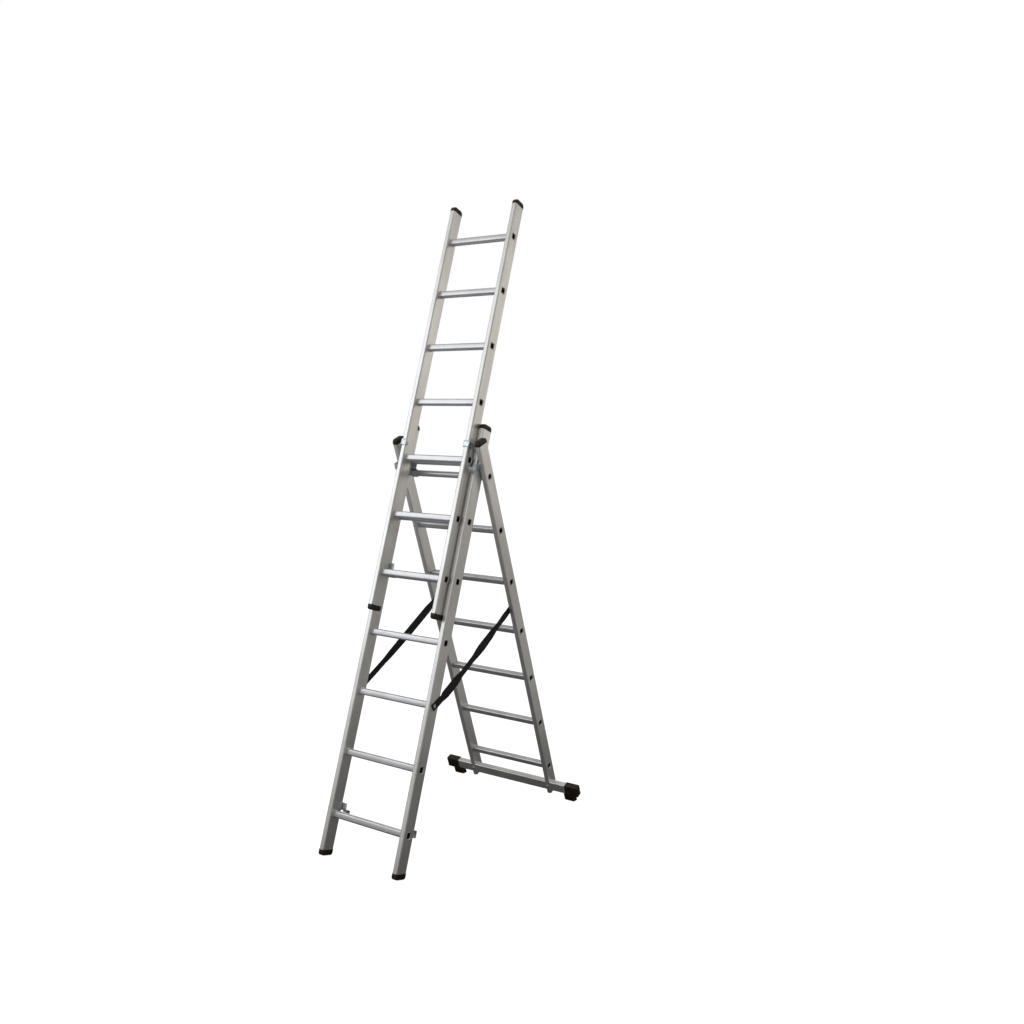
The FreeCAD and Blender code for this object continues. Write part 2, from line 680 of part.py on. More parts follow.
def bar_foot(side):
    """Plastic sleeve closed round the bar's end, with a pad below that stands flat on the floor."""
    label = "bar_foot_%s" % side
    sign = SIDES[side]
    wall = size("bar_foot_wall")
    gap = size("fit_gap")
    bar_end = size("bar_length") / 2
    centre_y = size("bar_centre_y")
    middle = size("bar_middle")
    inner_depth = size("bar_depth") + 2 * gap
    inner_height = size("bar_height") + 2 * gap
    depth = inner_depth + 2 * wall
    height = inner_height + 2 * wall
    start = bar_end + size("bar_foot_end") - size("bar_foot_length")
    sleeve = Part.makeBox(size("bar_foot_length"), depth, height,
                          V(start, centre_y - depth / 2, middle - height / 2))
    end_x = start + size("bar_foot_length")
    corners = [edge for edge in sleeve.Edges
               if edge.BoundBox.XLength > TOUCH or abs(edge.BoundBox.XMin - end_x) < TOUCH]
    sleeve = sleeve.makeFillet(size("bar_radius"), corners)
    socket = Part.makeBox(bar_end - start + gap, inner_depth, inner_height,
                          V(start, centre_y - inner_depth / 2, middle - inner_height / 2))
    front_y = centre_y - depth / 2 + wall
    back_y = front_y + size("pad_depth")
    top_z = middle - inner_height / 2 - wall / 2
    pad_start = start - size("pad_outset")
    outline = [
        V(pad_start, front_y, top_z), V(pad_start, back_y, top_z),
        V(pad_start, back_y + wall, floor_level(back_y + wall)),
        V(pad_start, front_y + wall, floor_level(front_y + wall)),
    ]
    face = Part.Face(Part.makePolygon(outline + outline[:1]))
    foot_pad = face.extrude(V(size("pad_length"), 0, 0))
    uprights = [edge for edge in foot_pad.Edges
                if edge.BoundBox.XLength < TOUCH and edge.BoundBox.ZLength > edge.BoundBox.YLength]
    foot_pad = foot_pad.makeFillet(wall, uprights)
    foot = sleeve.fuse(foot_pad).removeSplitter().cut(socket)
    way = Part.makeBox(size("pad_length"), inner_depth, inner_height,
                       V(start - size("pad_length"), centre_y - inner_depth / 2, middle - inner_height / 2))
    foot = foot.cut(way)
    if sign < 0:
        foot = foot.mirror(V(0, 0, 0), V(1, 0, 0))
    node = doc.addObject("Part::Feature", label)
    node.Label = label
    node.Shape = foot
    place(node, "rear")


# ---------------------------------------------------------------- assembly
for section in SECTIONS:
    for side in SIDES:
        stile(section, side)
        cap("%s_cap_%s" % (section, side), section, side, "top")
    for number in range(1, int(size("rung_count")) + 1):
        rung(section, number)
for side in SIDES:
    cap("front_foot_%s" % side, "front", side, "bottom")
    cap("fly_foot_%s" % side, "fly", side, "bottom")
    guide("front", side)
    guide("rear", side)
    hook("hinge_hook_" + side, "front", side, "hinge_level", "hinge_mouth", "hinge_high",
         "hinge_mouth + plate_thickness", HINGE_RIVETS)
    hook("front_hook_" + side, "front", side, "0", "hook_mouth", "hook_high", "hook_bend", HOOK_RIVETS)
    hook("fly_hook_" + side, "fly", side, "0", "hook_mouth", "hook_high", "hook_bend", HOOK_RIVETS)
    bar_foot(side)
    strap(side)
stabiliser_bar()
for section in SECTIONS:
    rivets(section)
bar_bolts()
strap_anchors("front")
strap_anchors("rear")

# ---------------------------------------------------------------- check and export
doc.recompute()
faults = [thing.Name for thing in doc.Objects if "Invalid" in thing.State or "Error" in thing.State]
faults += [node.Label for node in NODES if node.Shape.isNull() or not node.Shape.isValid()]
if faults:
    raise RuntimeError("failed: " + ", ".join(faults))
os.makedirs("parts", exist_ok=True)
for node in NODES:
    node.Shape.exportStep(os.path.join("parts", node.Label + ".step"))
for name, place_of in PLACES.items():
    print(name, "section at", [round(number, 3) for number in place_of.Base])
hinge_axis = PLACES["rear"].multVec(V(0, 0, size("top_rung")))
print("hinge at", [round(number, 3) for number in hinge_axis])
low, high = strap_ends("right")
print("strap between bolts", round((high - low).Length, 1), "nodes", len(NODES))
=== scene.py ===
"""Three-section aluminium ladder standing as an A-frame with its narrow top section raised."""
from math import pi, radians, sin

import bmesh
import bpy
from mathutils import Matrix, Vector


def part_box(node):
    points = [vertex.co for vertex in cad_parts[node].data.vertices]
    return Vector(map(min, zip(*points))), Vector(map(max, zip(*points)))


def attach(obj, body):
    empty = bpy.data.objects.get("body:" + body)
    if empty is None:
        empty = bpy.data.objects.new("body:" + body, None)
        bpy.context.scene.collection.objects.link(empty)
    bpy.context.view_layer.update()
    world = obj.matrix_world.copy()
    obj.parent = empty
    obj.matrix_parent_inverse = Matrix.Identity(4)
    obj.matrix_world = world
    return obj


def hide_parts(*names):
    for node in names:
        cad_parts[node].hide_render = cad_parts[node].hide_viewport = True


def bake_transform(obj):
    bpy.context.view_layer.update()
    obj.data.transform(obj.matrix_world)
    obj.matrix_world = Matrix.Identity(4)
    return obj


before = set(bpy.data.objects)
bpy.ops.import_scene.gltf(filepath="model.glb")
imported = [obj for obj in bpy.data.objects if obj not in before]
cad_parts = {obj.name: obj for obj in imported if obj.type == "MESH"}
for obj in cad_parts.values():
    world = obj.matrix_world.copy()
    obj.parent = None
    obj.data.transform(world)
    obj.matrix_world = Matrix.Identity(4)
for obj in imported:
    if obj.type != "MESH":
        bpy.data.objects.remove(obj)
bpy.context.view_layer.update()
scene = bpy.context.scene

SECTIONS = ("front", "fly", "rear")
SIDES = {"left": -1, "right": 1}
RUNGS = range(1, 8)
ACROSS = Vector((1, 0, 0))


# ---------------------------------------------------------------- where things are
def middle(node):
    """Middle of a CAD node's box."""
    low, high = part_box(node)
    return (low + high) / 2


def section_frame(section):
    """Axes across, backwards and up along a section's stiles, from the middle of its lowest rung."""
    origin = middle(f"{section}_rung_1")
    up = (middle(f"{section}_rung_7") - origin).normalized()
    turned = Matrix((ACROSS, up.cross(ACROSS), up)).transposed()
    return Matrix.Translation(origin) @ turned.to_4x4()


FRAMES = {section: section_frame(section) for section in SECTIONS}
PITCH = (middle("front_rung_2") - middle("front_rung_1")).length
HALF_WIDTH = {section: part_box(f"{section}_stile_right")[1].x for section in SECTIONS}
LEAN = {section: FRAMES[section].to_euler().x for section in SECTIONS}
TOP_RUNG = 6 * PITCH

STILE_WIDTH = 0.025
STILE_DEPTH = 0.070
STILE_END = 0.160           # stile beyond its end rungs
RUNG_HALF = 0.015
RUNG_CORNER = 0.007
RUNG_WALL = 0.0016
# Steps of a rung's skin: how far past the stile's inner wall, and how far the skin stands out of the tube.
RUNG_BEAD = ((-0.0018, 0), (-0.0014, 0.0012), (-0.0009, 0.0020), (-0.0002, 0.0022), (0.0002, 0.0006))
# The same past the stile's outer wall: the lip rolls over and runs back into the bore.
RUNG_LIP = ((-0.0003, 0.0006), (0, 0.0021), (0.0005, 0.0022), (0.0009, 0.0014), (0.0010, 0.0002),
            (0.0005, -0.0010), (-0.0008, -0.0022), (-0.0030, -0.0028), (-0.0045, -0.0028),
            (-0.0060, -RUNG_WALL))
RIB_PITCH = 0.0023
RIB_HALF = 0.0006
RIB_HEIGHT = 0.0003
RIB_END_GAP = 0.004         # rib's end to the stile
SECTION_OFFSET = 0.0505     # between the middles of two nested sections
GUIDE_LEVEL = TOP_RUNG + 0.069
GUIDE_HEIGHT = 0.030
HOOK_WIDTH = 0.039
HINGE_LEVEL = TOP_RUNG - 0.048
PLATE = 0.003
SIDE_GAP = 0.004            # between the stiles of nested sections
GUIDE_GAP = 0.001           # guide to the front of the stile in it
GUIDE_SIDE_GAP = 0.002      # guide to the side of the stile in it
GUIDE_INSET = 0.006         # guide's flat end inside its own stile's outer face
GUIDE_LIP = 0.0155          # front guide's end, turned back along the stile in it
GUIDE_BEND = 0.004
REAR_GUIDE_REACH = 0.021
STRAP_ROUND = 0.004         # corners of a bent strap's ends
HOOK_LOW = 0.016            # a hook's tip below its rung's axis
HOOK_OUTWARDS = 0.015       # a hook's leg over its stile's rear face
HOOK_FIRST_BEND = 0.0035
# A hook that rests on a rung, and one that holds the hinge tube: half its mouth, the top of its leg over the
# rung's axis, and its last bend.
REST_HOOK = (0.01575, 0.050, 0.0065)
HINGE_HOOK = (0.0153, 0.072, 0.0168)
STRAP_SHIFT = 0.005         # rear strap bolt in front of its stile's middle
CAP_PROUD = 0.001
CAP_HEIGHT = 0.025
CAP_PARTING = 0.0008        # gap between a cap's rim and its stile
CAP_NECK_INSET = 0.0016
CAP_NECK = (-0.004, 0.003)  # the neck's ends along the stile
CAP_SHAPE = (0.017, 0.0055)     # radius of the crown's ends, and of its rims
FOOT_SHAPE = (0.012, 0.0035)    # the same on a foot, which has a flatter tread
GRIP_PITCH = 0.0065
GRIP_HALF = 0.0011
GRIP_LEVELS = (0.004, 0.0135)
GRIP_SUNK = 0.0004
GRIP_PROUD = 0.0005

# ---------------------------------------------------------------- camera
camera = bpy.data.objects.new("camera", bpy.data.cameras.new("camera"))
scene.collection.objects.link(camera)
camera.location = (2.722, -3.7934, 1.9055)
camera.rotation_euler = (radians(85.714), radians(-1.562), radians(32.274))
camera.data.sensor_width = 36
camera.data.lens = 33.81
camera.data.clip_end = 200
scene.camera = camera
scene.view_settings.view_transform = "Standard"


# ---------------------------------------------------------------- finishes
def new_finish(name, colour, metallic, roughness):
    """New material, with its node tree and its shader."""
    material = bpy.data.materials.new(name)
    material.use_nodes = True
    shader = material.node_tree.nodes["Principled BSDF"]
    shader.inputs["Base Color"].default_value = (*colour, 1)
    shader.inputs["Metallic"].default_value = metallic
    shader.inputs["Roughness"].default_value = roughness
    return material, material.node_tree, shader


def noise(tree, size, turn, detail):
    """Noise whose spots have the given size along three axes, turned about the first."""
    where = tree.nodes.new("ShaderNodeTexCoord")
    mapping = tree.nodes.new("ShaderNodeMapping")
    mapping.vector_type = "TEXTURE"
    mapping.inputs["Rotation"].default_value = (turn, 0, 0)
    mapping.inputs["Scale"].default_value = size
    spots = tree.nodes.new("ShaderNodeTexNoise")
    spots.inputs["Scale"].default_value = 1
    spots.inputs["Detail"].default_value = detail
    tree.links.new(where.outputs["Object"], mapping.inputs["Vector"])
    tree.links.new(mapping.outputs["Vector"], spots.inputs["Vector"])
    return spots.outputs["Fac"]


def spread(tree, value, low, high, new_low, new_high):
    """The value's range from low to high stretched to a new range."""
    node = tree.nodes.new("ShaderNodeMapRange")
    for socket, number in zip(("From Min", "From Max", "To Min", "To Max"), (low, high, new_low, new_high)):
        node.inputs[socket].default_value = number
    tree.links.new(value, node.inputs["Value"])
    return node.outputs["Result"]


def between(tree, share, first, second):
    """Colour between two others; each is a colour or another node's output."""
    node = tree.nodes.new("ShaderNodeMix")
    node.data_type = "RGBA"
    tree.links.new(share, node.inputs[0])
    for socket, colour in ((node.inputs[6], first), (node.inputs[7], second)):
        if isinstance(colour, tuple):
            socket.default_value = (*colour, 1)
        else:
            tree.links.new(colour, socket)
    return node.outputs[2]


def relief(tree, shader, height, depth, strength):
    """Bump of the given depth in metres on the shader's surface."""
    node = tree.nodes.new("ShaderNodeBump")
    node.inputs["Strength"].default_value = strength
    node.inputs["Distance"].default_value = depth
    tree.links.new(height, node.inputs["Height"])
    tree.links.new(node.outputs["Normal"], shader.inputs["Normal"])


def drawn_aluminium(name, turn, along, pale, dull, roughness):
    """Extruded aluminium: die lines along the profile, faint clouding and a few scuffs."""
    material, tree, shader = new_finish(name, pale, 0.88, roughness)
    line_size = (0.0011, 0.0011, 0.45) if along == "stile" else (0.40, 0.0010, 0.0010)
    lines = noise(tree, line_size, turn, 4)
    clouds = noise(tree, (0.09, 0.09, 0.22), turn, 3)
    scuffs = noise(tree, (0.0035, 0.030, 0.012), turn, 5)
    tone = between(tree, spread(tree, clouds, 0.35, 0.65, 0, 1), pale, dull)
    rubbed = tuple(0.86 * c for c in dull)
    tone = between(tree, spread(tree, scuffs, 0.66, 0.78, 0, 0.6), tone, rubbed)
    tone = between(tree, spread(tree, lines, 0.42, 0.72, 0, 0.30), tone, rubbed)
    tree.links.new(tone, shader.inputs["Base Color"])
    tree.links.new(spread(tree, lines, 0.3, 0.7, roughness - 0.05, roughness + 0.09),
                   shader.inputs["Roughness"])
    relief(tree, shader, lines, 0.00006, 0.5)
    return material


def zinc_plate():
    """Zinc-plated steel sheet: cool, slightly mottled, with faint rolling marks."""
    material, tree, shader = new_finish("zinc_plated_steel", (0.62, 0.67, 0.70), 0.95, 0.30)
    mottle = noise(tree, (0.006, 0.006, 0.006), 0, 2)
    fine = noise(tree, (0.0006, 0.0006, 0.004), LEAN["front"], 3)
    tone = between(tree, spread(tree, mottle, 0.38, 0.62, 0, 1), (0.66, 0.72, 0.75), (0.48, 0.53, 0.57))
    tree.links.new(tone, shader.inputs["Base Color"])
    tree.links.new(spread(tree, mottle, 0.3, 0.7, 0.24, 0.40), shader.inputs["Roughness"])
    relief(tree, shader, fine, 0.00005, 0.4)
    return material


def turned_steel(name, colour, roughness):
    """Bright steel of rivets and bolts, with fine pits."""
    material, tree, shader = new_finish(name, colour, 0.95, roughness)
    pits = noise(tree, (0.0007, 0.0007, 0.0007), 0, 3)
    tone = between(tree, spread(tree, pits, 0.4, 0.7, 0, 1), colour, tuple(0.7 * c for c in colour))
    tree.links.new(tone, shader.inputs["Base Color"])
    tree.links.new(spread(tree, pits, 0.3, 0.7, roughness - 0.06, roughness + 0.1),
                   shader.inputs["Roughness"])
    relief(tree, shader, pits, 0.00004, 0.4)
    return material


def moulded_plastic():
    """Brown-black moulded plastic: spark-eroded grain, flow clouding and dusty scuffs."""
    material, tree, shader = new_finish("moulded_plastic", (0.020, 0.012, 0.006), 0, 0.45)
    shader.inputs["Specular IOR Level"].default_value = 0.28
    grain = noise(tree, (0.0006, 0.0006, 0.0006), 0, 2)
    flow = noise(tree, (0.02, 0.02, 0.02), 0, 3)
    dust = noise(tree, (0.004, 0.009, 0.004), 0, 5)
    tone = between(tree, spread(tree, flow, 0.35, 0.65, 0, 1), (0.012, 0.006, 0.002), (0.030, 0.016, 0.005))
    tone = between(tree, spread(tree, dust, 0.60, 0.74, 0, 0.5), tone, (0.060, 0.037, 0.015))
    tree.links.new(tone, shader.inputs["Base Color"])
    tree.links.new(spread(tree, flow, 0.3, 0.7, 0.38, 0.52), shader.inputs["Roughness"])
    relief(tree, shader, grain, 0.00012, 0.6)
    return material


def wave(tree, vector, axis, pitch):
    """Ridges across an axis of the webbing's own map, one every pitch metres."""
    ridges = tree.nodes.new("ShaderNodeTexWave")
    ridges.bands_direction = axis
    ridges.inputs["Scale"].default_value = 2 * pi / (20 * pitch)
    tree.links.new(vector, ridges.inputs["Vector"])
    return ridges.outputs["Fac"]


def maths(tree, operation, first, second):
    """Result of a sum on two values; each is a number or another node's output."""
    node = tree.nodes.new("ShaderNodeMath")
    node.operation = operation
    for socket, value in zip(node.inputs, (first, second)):
        if isinstance(value, (int, float)):
            socket.default_value = value
        else:
            tree.links.new(value, socket)
    return node.outputs[0]


def woven_webbing():
    """Black polyester webbing: warp cords along the strap with the weft crossing over them."""
    material, tree, shader = new_finish("woven_webbing", (0.008, 0.007, 0.007), 0, 0.72)
    shader.inputs["Specular IOR Level"].default_value = 0.25
    shader.inputs["Sheen Weight"].default_value = 0.08
    shader.inputs["Sheen Roughness"].default_value = 0.4
    own_map = tree.nodes.new("ShaderNodeTexCoord").outputs["UV"]
    cords = wave(tree, own_map, "X", 0.0017)
    picks = wave(tree, own_map, "Y", 0.0011)
    weave = maths(tree, "MULTIPLY", maths(tree, "ADD", cords, 0.35), maths(tree, "ADD", picks, 0.8))
    fluff = noise(tree, (0.0009, 0.004, 0.0009), 0, 4)
    wear = noise(tree, (0.02, 0.05, 0.02), 0, 3)
    # The weave's hollows are painted darker and its crests paler: painted shade and highlight of the weave.
    # Fluffed, worn patches below are paler from wear.
    tone = between(tree, spread(tree, weave, 0.4, 2.2, 0, 1), (0.003, 0.003, 0.003), (0.013, 0.012, 0.012))
    tone = between(tree, spread(tree, maths(tree, "MULTIPLY", fluff, wear), 0.24, 0.42, 0, 0.4), tone,
                   (0.026, 0.024, 0.023))
    tree.links.new(tone, shader.inputs["Base Color"])
    tree.links.new(spread(tree, fluff, 0.3, 0.7, 0.62, 0.82), shader.inputs["Roughness"])
    relief(tree, shader, weave, 0.0004, 0.8)
    return material


def sewing_thread():
    """Dark grey thread with the shade of its twist."""
    material, tree, shader = new_finish("sewing_thread", (0.03, 0.029, 0.028), 0, 0.6)
    twist = noise(tree, (0.0003, 0.0003, 0.0003), 0, 2)
    tone = between(tree, spread(tree, twist, 0.3, 0.7, 0, 1), (0.022, 0.021, 0.020), (0.055, 0.052, 0.050))
    tree.links.new(tone, shader.inputs["Base Color"])
    relief(tree, shader, twist, 0.0001, 0.5)
    return material


PALE = (0.80, 0.80, 0.79)
DULL = (0.70, 0.69, 0.67)
STILE_METAL = {
    "front": drawn_aluminium("stile_aluminium_front", LEAN["front"], "stile", PALE, DULL, 0.36),
    "rear": drawn_aluminium("stile_aluminium_rear", LEAN["rear"], "stile", PALE, DULL, 0.38),
}
STILE_METAL["fly"] = STILE_METAL["front"]
RUNG_PALE = (0.66, 0.66, 0.68)
RUNG_DULL = (0.59, 0.59, 0.61)
RUNG_METAL = {
    "front": drawn_aluminium("rung_aluminium_front", LEAN["front"], "rung", RUNG_PALE, RUNG_DULL, 0.33),
    "rear": drawn_aluminium("rung_aluminium_rear", LEAN["rear"], "rung", RUNG_PALE, RUNG_DULL, 0.33),
}
RUNG_METAL["fly"] = RUNG_METAL["front"]
# Near-black aluminium for the rungs' bores: painted shade inside the open tubes.
BORE_PAINTED_SHADE = drawn_aluminium("bore_painted_shade", LEAN["front"], "rung", (0.10, 0.10, 0.10), (0.06, 0.06, 0.06), 0.6)
BAR_METAL = drawn_aluminium("bar_aluminium", LEAN["rear"], "rung", PALE, DULL, 0.34)
ZINC = zinc_plate()
RIVET_STEEL = turned_steel("rivet_steel", (0.66, 0.67, 0.68), 0.34)
BOLT_STEEL = turned_steel("bolt_steel", (0.58, 0.59, 0.60), 0.30)
PLASTIC = moulded_plastic()
WEBBING = woven_webbing()
THREAD = sewing_thread()


# ---------------------------------------------------------------- making pieces
def as_piece(name, bm, material, body, stands_for=(), smooth=35):
    """The shape as an object in the ladder's own frame, riding on a body."""
    mesh = bpy.data.meshes.new(name)
    bm.to_mesh(mesh)
    bm.free()
    piece = bpy.data.objects.new(name, mesh)
    scene.collection.objects.link(piece)
    mesh.materials.append(material)
    mesh.shade_smooth()
    mesh.set_sharp_from_angle(angle=radians(smooth))
    if body:
        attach(piece, body)
    if stands_for:
        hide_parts(*stands_for)
    return piece


def edges_of(made):
    return [item for item in made["geom"] if isinstance(item, bmesh.types.BMEdge)]


def points_of(made):
    return [item for item in made["geom"] if isinstance(item, bmesh.types.BMVert)]


def block(bm, low, high):
    """Box between two corners; returns its points."""
    verts = bmesh.ops.create_cube(bm, size=1)["verts"]
    low = Vector(low)
    high = Vector(high)
    bmesh.ops.scale(bm, vec=high - low, verts=verts)
    bmesh.ops.translate(bm, vec=(low + high) / 2, verts=verts)
    return verts


def rounded_ring(bm, half_x, half_y, radius, segments):
    """Ring of edges with rounded corners round the third axis."""
    verts = bmesh.ops.create_grid(bm, x_segments=1, y_segments=1, size=1)["verts"]
    bmesh.ops.scale(bm, vec=(half_x, half_y, 1), verts=verts)
    bmesh.ops.bevel(bm, geom=verts, offset=radius, offset_type="OFFSET", affect="VERTICES",
                    segments=segments, profile=0.5, material=-1)
    face = bm.faces[:][-1]
    edges = list(face.edges)
    bmesh.ops.delete(bm, geom=[face], context="FACES_ONLY")
    return edges


def draw_out(bm, ring, half, stations):
    """Skin drawn from a ring through stations of (level, growth of its half width), closed on itself."""
    first = ring
    first_points = list({point for edge in ring for point in edge.verts})
    level, growth = stations[0]
    size = (half + growth) / half
    bmesh.ops.scale(bm, vec=(size, size, 1), verts=first_points)
    bmesh.ops.translate(bm, vec=(0, 0, level), verts=first_points)
    for next_level, next_growth in stations[1:]:
        made = bmesh.ops.extrude_edge_only(bm, edges=ring)
        ring = edges_of(made)
        size = (half + next_growth) / (half + growth)
        bmesh.ops.scale(bm, vec=(size, size, 1), verts=points_of(made))
        bmesh.ops.translate(bm, vec=(0, 0, next_level - level), verts=points_of(made))
        level, growth = next_level, next_growth
    bmesh.ops.bridge_loops(bm, edges=first + ring)
    bmesh.ops.recalc_face_normals(bm, faces=bm.faces)


def rung_piece(section, number):
    """Pressed rung: ribbed open tube with a bead inside each stile and a rolled lip outside it."""
    half_width = HALF_WIDTH[section]
    inner = half_width - STILE_WIDTH
    turning = section == "rear" and number == 7
    bm = bmesh.new()
    if turning:
        made = bmesh.ops.create_circle(bm, segments=32, radius=RUNG_HALF)
        ring = list({edge for point in made["verts"] for edge in point.link_edges})
    else:
        ring = rounded_ring(bm, RUNG_HALF, RUNG_HALF, RUNG_CORNER, 5)
    right_end = [(inner + level, growth) for level, growth in RUNG_BEAD]
    right_end += [(half_width + level, growth) for level, growth in RUNG_LIP]
    stations = [(-level, growth) for level, growth in reversed(right_end)] + right_end
    draw_out(bm, ring, RUNG_HALF, stations)
    # Faces inside the tube take the second material, whose near-black colour is painted shade in the bore.
    for face in bm.faces:
        centre = face.calc_center_median()
        faces_in = face.normal.dot(Vector((centre.x, centre.y, 0))) < 0
        if faces_in and abs(centre.z) < half_width - 0.003:
            face.material_index = 1
    if not turning:
        for face in (1, -1):
            for step in range(-3, 4):
                x, y = step * RIB_PITCH, face * RUNG_HALF
                rib = block(bm, (x - RIB_HALF, y - RIB_HEIGHT, -inner + RIB_END_GAP),
                            (x + RIB_HALF, y + RIB_HEIGHT, inner - RIB_END_GAP))
                crest = [edge for edge in {e for v in rib for e in v.link_edges}
                         if edge.calc_length() > 0.1 and all(v.co.y * face > RUNG_HALF for v in edge.verts)]
                bmesh.ops.bevel(bm, geom=crest, offset=0.0003, segments=2, profile=0.5, affect="EDGES",
                                material=-1)
    lie_across = Matrix(((0, 0, 1, 0), (1, 0, 0, 0), (0, 1, 0, 0), (0, 0, 0, 1)))
    lift = Matrix.Translation((0, 0, (number - 1) * PITCH))
    bmesh.ops.transform(bm, matrix=FRAMES[section] @ lift @ lie_across, verts=bm.verts)
    node = f"{section}_rung_{number}"
    name = f"{node}_hinge_tube" if turning else f"{node}_ribbed"
    piece = as_piece(name, bm, RUNG_METAL[section], section, [node])
    piece.data.materials.append(BORE_PAINTED_SHADE)


def softened(node, material, body, width, segments):
    """A moulding of its CAD shape, with its sharp edges broken."""
    bm = bmesh.new()
    bm.from_mesh(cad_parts[node].data)
    bmesh.ops.remove_doubles(bm, verts=bm.verts, dist=0.00001)
    bmesh.ops.dissolve_limit(bm, angle_limit=radians(1), verts=bm.verts, edges=bm.edges)
    sharp = [edge for edge in bm.edges if edge.is_manifold and edge.calc_face_angle() > radians(40)]
    bmesh.ops.bevel(bm, geom=sharp, offset=width, segments=segments, profile=0.5, affect="EDGES",
                    clamp_overlap=True, material=-1)
    as_piece(f"{node}_finished", bm, material, body, [node])


def bent_strap(node, section, route, bends, width_way):
    """Zinc-plated strap: a route bent to the given radii, as wide as width_way, with rounded ends."""
    bm = bmesh.new()
    points = [bm.verts.new(point) for point in route]
    made = bmesh.ops.extrude_edge_only(bm, edges=[bm.edges.new(pair) for pair in zip(points, points[1:])])
    bmesh.ops.translate(bm, vec=width_way, verts=points_of(made))
    across = Vector(width_way).normalized()
    for corner, radius in zip(route[1:-1], bends):
        fold = [edge for edge in bm.edges
                if all((point.co - Vector(corner)).cross(across).length < 0.00001 for point in edge.verts)]
        bmesh.ops.bevel(bm, geom=fold, offset=radius, segments=7, profile=0.5, affect="EDGES", material=-1)
    ends = [point for point in bm.verts if len(point.link_faces) == 1]
    bmesh.ops.bevel(bm, geom=ends, offset=STRAP_ROUND, segments=4, profile=0.5, affect="VERTICES",
                    material=-1)
    bmesh.ops.transform(bm, matrix=FRAMES[section], verts=bm.verts)
    bmesh.ops.recalc_face_normals(bm, faces=bm.faces)
    piece = as_piece(f"{node}_bent", bm, ZINC, section, [node], smooth=60)
    thickness = piece.modifiers.new("thickness", "SOLIDIFY")
    thickness.thickness = PLATE
    thickness.offset = 0
    rims = piece.modifiers.new("rims", "BEVEL")
    rims.width = 0.0006
    rims.segments = 2
    rims.limit_method = "ANGLE"
    rims.angle_limit = radians(50)


def guide(section, side):
    """Strap bent round the stile that slides in it."""
    sign = SIDES[side]
    outer = HALF_WIDTH[section]
    inner = outer - STILE_WIDTH
    flat_y = -(STILE_DEPTH / 2 + PLATE / 2)
    far_y = -(SECTION_OFFSET + STILE_DEPTH / 2 + GUIDE_GAP + PLATE / 2)
    web_x = inner - GUIDE_SIDE_GAP + PLATE / 2
    route = [(outer - GUIDE_INSET, flat_y), (web_x, flat_y), (web_x, far_y)]
    if section == "front":
        tip_x = inner - SIDE_GAP - STILE_WIDTH - GUIDE_SIDE_GAP - PLATE / 2
        route += [(tip_x, far_y), (tip_x, far_y + GUIDE_LIP)]
    else:
        route.append((inner - REAR_GUIDE_REACH, far_y))
    low = GUIDE_LEVEL - GUIDE_HEIGHT / 2
    bent_strap(f"{section}_guide_{side}", section, [(sign * x, y, low) for x, y in route],
               [GUIDE_BEND] * (len(route) - 2), (0, 0, GUIDE_HEIGHT))


def hook(node, section, side, level, half_mouth, high, bend):
    """Strap from a stile's rear face over the rung behind it."""
    sign = SIDES[side]
    inner = HALF_WIDTH[section] - STILE_WIDTH
    leg_y = STILE_DEPTH / 2 + PLATE / 2
    over_z = level + half_mouth + PLATE / 2
    back_y = SECTION_OFFSET + half_mouth + PLATE / 2
    route = [(leg_y, level + high), (leg_y, over_z), (back_y, over_z), (back_y, level - HOOK_LOW)]
    start_x = sign * (inner + HOOK_OUTWARDS)
    bent_strap(node, section, [(start_x, y, z) for y, z in route], [HOOK_FIRST_BEND, bend],
               (-sign * HOOK_WIDTH, 0, 0))


